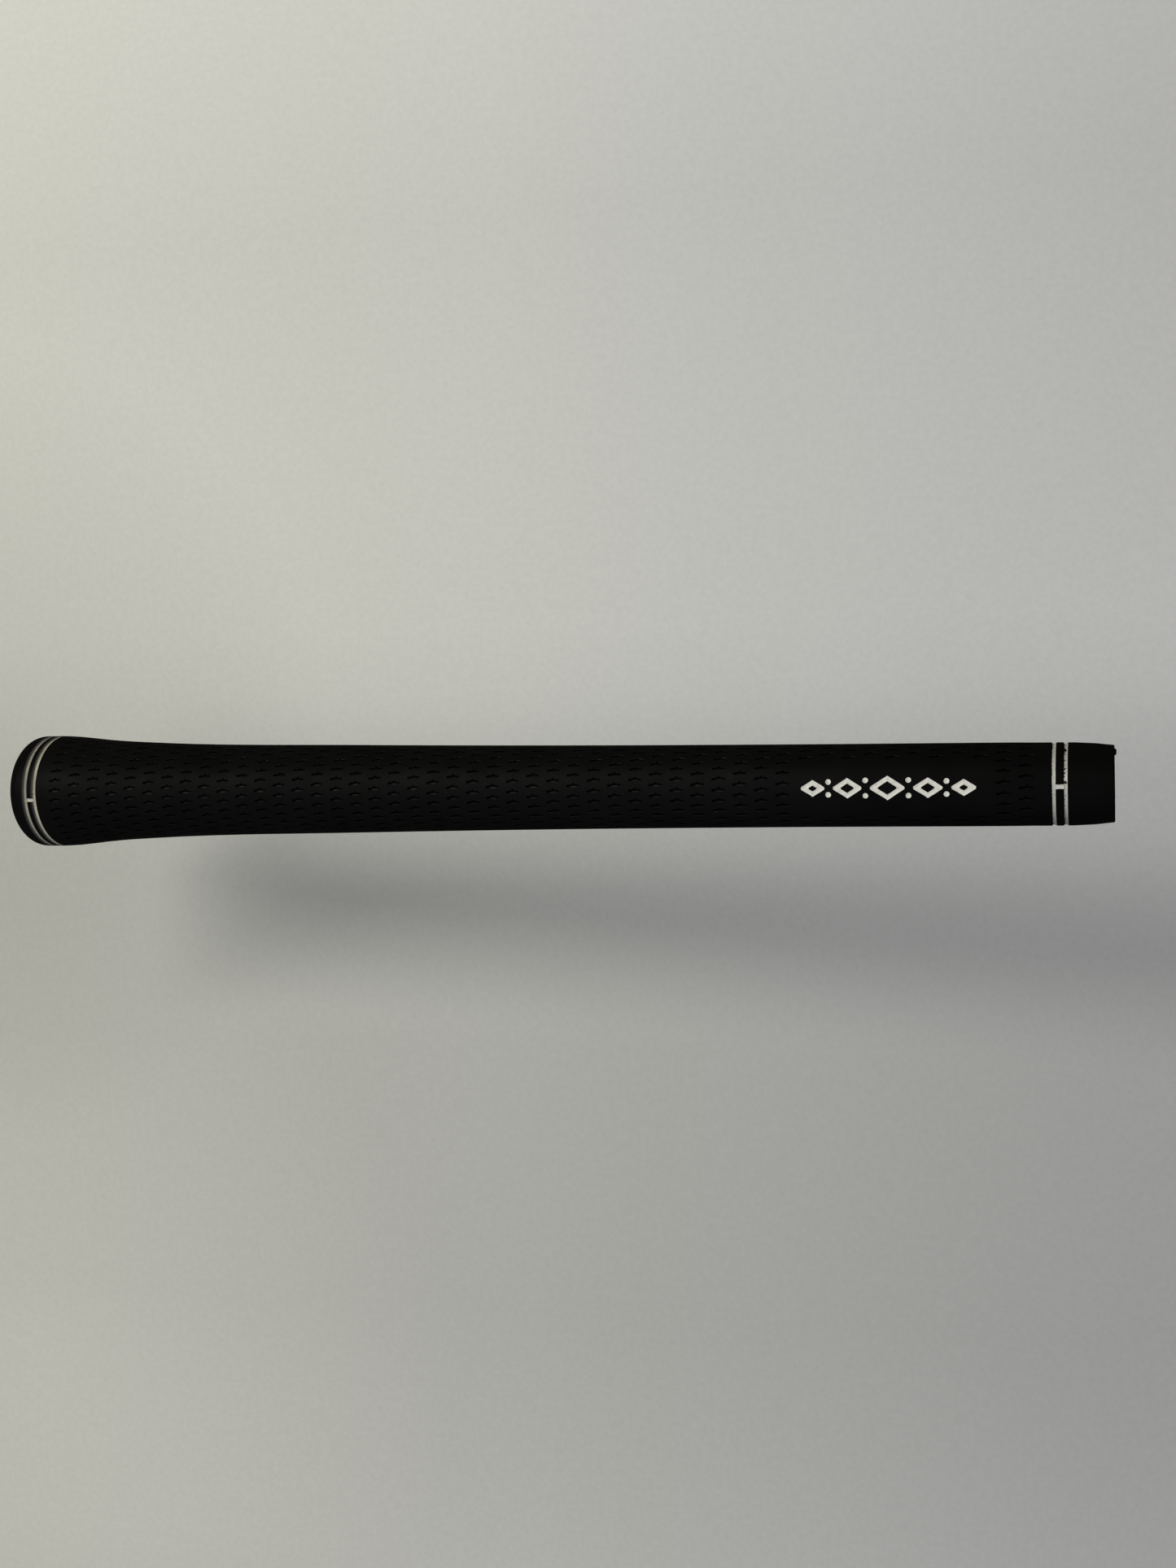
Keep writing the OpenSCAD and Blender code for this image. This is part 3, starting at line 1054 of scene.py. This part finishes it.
def paper_material():
    """Pale paper with painted light and shade, brighter and warmer towards the back left, with a faint
    fibre mottle.
    """
    material, shading, inputs = new_material("pale_paper")
    factors = [
        shading.along("Y", PAPER_LIGHT_DEPTHWISE),
        shading.ramp(shading.noise(700.0, 3.0, 0.6), [(0.3, grey(0.955)), (0.7, grey(1.015))]),
    ]
    for x, y, reach, strength in PAPER_LIGHT_PATCHES:
        part = shading.maths("DIVIDE", shading.away_from(x, y), reach)
        stops = [(0.0, grey(strength)), (0.5, grey(0.45 + 0.55 * strength)), (1.0, grey(1.0))]
        factors.append(shading.ramp(part, stops))
    colour = shading.along("X", PAPER_LIGHT_SIDEWAYS)
    for factor in factors:
        colour = shading.mix("MULTIPLY", colour, factor)
    shading.link(colour, inputs["Base Color"])
    inputs["Roughness"].default_value = 0.9
    inputs["Specular IOR Level"].default_value = 0.1
    return material


RUBBER_TONE = (0.0022, 0.0036)
butt_rims = [high for low, high in BUTT_RINGS]
sleeve_rubber = rubber_material("grip_rubber", RUBBER_TONE, (0.48, 0.60), 0.060, matt_lip=True)
# The cap's rubber carries rubbed-in paint and painted shade beside the butt rings
cap_rubber = rubber_material("cap_rubber", RUBBER_TONE, (0.44, 0.54), 0.060, stains_and_shade=butt_rims)
slit_rubber = rubber_material("slit_rubber", RUBBER_TONE, (0.36, 0.44), 0.085, matt_lip=True)
# The slits' deep cores get a darker rubber: painted shade in the recesses
shaded_core_rubber = rubber_material("slit_core_rubber", (0.0006, 0.0012), (0.60, 0.70), 0.012)
fleck_grime = rubber_material("grime", (0.020, 0.060), (0.55, 0.70), 0.05)
emblem_paint = paint_material("emblem_paint", 0.81, 0.13)
upper_paint = paint_material("upper_ring_paint", 0.545, 0.134, MOUTH_RINGS[1], UPPER_GRIME_AND_SHADE, MOUTH_LIGHT_AND_SHADE)
lower_paint = paint_material("lower_ring_paint", 0.545, 0.134, MOUTH_RINGS[0], LOWER_GRIME_AND_SHADE, MOUTH_LIGHT_AND_SHADE)
mouth_tick_paint = paint_material("mouth_mark_paint", 0.65, 0.10)
outer_paint = paint_material("outer_ring_paint", 0.295, 0.27, BUTT_RINGS[1], BUTT_GRIME_AND_SHADE, BUTT_LIGHT_AND_SHADE)
inner_paint = paint_material("inner_ring_paint", 0.40, 0.29, BUTT_RINGS[0], BUTT_GRIME_AND_SHADE, BUTT_LIGHT_AND_SHADE)
butt_tick_paint = paint_material("butt_mark_paint", 0.52, 0.20)


# ---------------- pieces on the frame

def fit(piece, node, slot, *materials):
    for material in materials:
        piece.data.materials.append(material)
    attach(piece, "root")
    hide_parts(node)


fit(build_sleeve(), "grip_sleeve", "grip_rubber", sleeve_rubber, slit_rubber, shaded_core_rubber)
fit(build_cap(), "end_cap", "cap_rubber", cap_rubber)

# Worn places of the rings at the mouth: (degrees from the front towards +Y, spread, amount)
UPPER_WEAR = [(70, 12, 0.10), (-55, 10, 0.05)]
LOWER_WEAR = [(35, 45, 0.17), (58, 7, 0.22), (23, 4, 0.16), (4, 2.5, 0.3), (-45, 15, 0.10)]

for node, span, turn, paint, deepest, climb, wear in (
    ("butt_ring_outer", BUTT_RINGS[1], BUTT_TWIST, outer_paint, 0.16, 0.28, ()),
    ("butt_ring_inner", BUTT_RINGS[0], BUTT_TWIST, inner_paint, 0.16, 0.28, ()),
    ("mouth_ring_upper", MOUTH_RINGS[1], 0.0, upper_paint, 0.24, 0.05, UPPER_WEAR),
    ("mouth_ring_lower", MOUTH_RINGS[0], 0.0, lower_paint, 0.24, 0.05, LOWER_WEAR),
):
    piece = build_ring(node + "_paint", span, turn, deepest, climb, wear)
    fit(piece, node, "white_paint", paint, fleck_grime)
for node, spans, turn, paint, half in (
    ("butt_index_mark", BUTT_RINGS, BUTT_TWIST, butt_tick_paint, 0.74 * TICK_HALF),
    ("mouth_index_mark", MOUTH_RINGS, 0.0, mouth_tick_paint, 0.92 * TICK_HALF),
):
    fit(build_tick(node + "_paint", spans, turn, half), node, "white_paint", paint)
fit(build_emblem(), "front_emblem", "white_paint", emblem_paint)


# ---------------- stage, light and camera

GRIP_MIDDLE = Vector((-CROWN / 2 * MM, 0, 0))
FLOOR_HALF = 2.0           # half the floor's side
FLOOR_DROP = 59 * MM       # of the floor below the middle of the grip
FLOOR_TILT = 0.062         # the floor falls away a little towards the mouth
DIAGONAL = Vector((1, 0.53, 0))
KEY_TOWARDS = Vector((-0.67, 0.64, 1.0)) * 0.70
OVERHEAD_TOWARDS = Vector((-0.30, 0.02, 0.80))


def build_floor():
    corners = []
    for x, y in ((-1, -1), (1, -1), (1, 1), (-1, 1)):
        x, y = x * FLOOR_HALF, y * FLOOR_HALF
        corners.append((x, y, -FLOOR_DROP - FLOOR_TILT * (x - GRIP_MIDDLE.x)))
    mesh = bpy.data.meshes.new("floor")
    mesh.from_pydata(corners, [], [(0, 1, 2, 3)])
    mesh.materials.append(paper_material())
    floor = bpy.data.objects.new("floor", mesh)
    bpy.context.scene.collection.objects.link(floor)


def area_light(name, towards, long_way, sizes, power, colour):
    """Elliptical light aimed at the grip's middle, its longer size lying along long_way."""
    data = bpy.data.lights.new(name, "AREA")
    data.shape = "ELLIPSE"
    data.size, data.size_y = sizes
    data.energy = power
    data.color = colour
    light = bpy.data.objects.new(name, data)
    back = towards.normalized()
    side = (long_way - long_way.dot(back) * back).normalized()
    turn = Matrix((side, back.cross(side), back)).transposed()
    light.matrix_world = Matrix.Translation(GRIP_MIDDLE + towards) @ turn.to_4x4()
    bpy.context.scene.collection.objects.link(light)


def room_world():
    """Soft room light: brightest overhead, dim at the horizon behind, with a cool fill from the front."""
    room = bpy.data.worlds.new("room")
    room.use_nodes = True
    shading = Shading(room.node_tree)
    axes = shading.axes("Generated")
    sky = shading.ramp(axes["Z"], [
        (0.0, (0.10, 0.10, 0.11, 1.0)), (0.35, (0.20, 0.205, 0.21, 1.0)),
        (0.9, (0.36, 0.365, 0.37, 1.0)),
    ])
    frontwards = shading.maths("MULTIPLY", axes["Y"], -1.0)
    fill = shading.ramp(frontwards, [(0.3, grey(0.0)), (1.0, (0.52, 0.57, 0.67, 1.0))])
    background = room.node_tree.nodes["Background"].inputs
    shading.link(shading.mix("ADD", sky, fill), background["Color"])
    background["Strength"].default_value = 1.0
    return room


build_floor()
area_light("key", KEY_TOWARDS, DIAGONAL, (0.89, 0.17), 4.85, (1.0, 0.985, 0.93))
area_light("overhead", OVERHEAD_TOWARDS, DIAGONAL, (0.40, 0.40), 0.6, (1.0, 0.99, 0.97))
bpy.context.scene.world = room_world()
bpy.context.scene.view_settings.view_transform = "Standard"

# The camera looks down on the front, tilted so that the mouth is nearer than the butt
CAMERA_DISTANCE = 400 * MM    # from the aim point, along the view
AIM_S = 118.0                 # the view's centre line meets the grip's axis near here
CAMERA_RISE = 0.76 * MM       # of the view's centre above the axis
TILT = math.radians(17.08)    # away from square, towards the mouth
ROLL_ABOUT_GRIP = math.radians(-3.7)
SLOPE = math.radians(-0.43)   # the grip rises slightly to the right
LENS = 39.14                  # for the 36 mm side of the picture, which is its height

turn = Matrix.Rotation(ROLL_ABOUT_GRIP, 4, "X") @ Matrix.Rotation(TILT, 4, "Y")
turn = turn @ Matrix.Rotation(SLOPE, 4, "Z")
offset = turn @ Vector((0, CAMERA_RISE, CAMERA_DISTANCE))
camera_data = bpy.data.cameras.new("camera")
camera_data.sensor_fit = "VERTICAL"
camera_data.sensor_height = 36
camera_data.lens = LENS
camera_data.clip_start = 0.01
camera = bpy.data.objects.new("camera", camera_data)
camera.matrix_world = Matrix.Translation(Vector((-AIM_S * MM, 0, 0)) + offset) @ turn
bpy.context.scene.collection.objects.link(camera)
bpy.context.scene.camera = camera
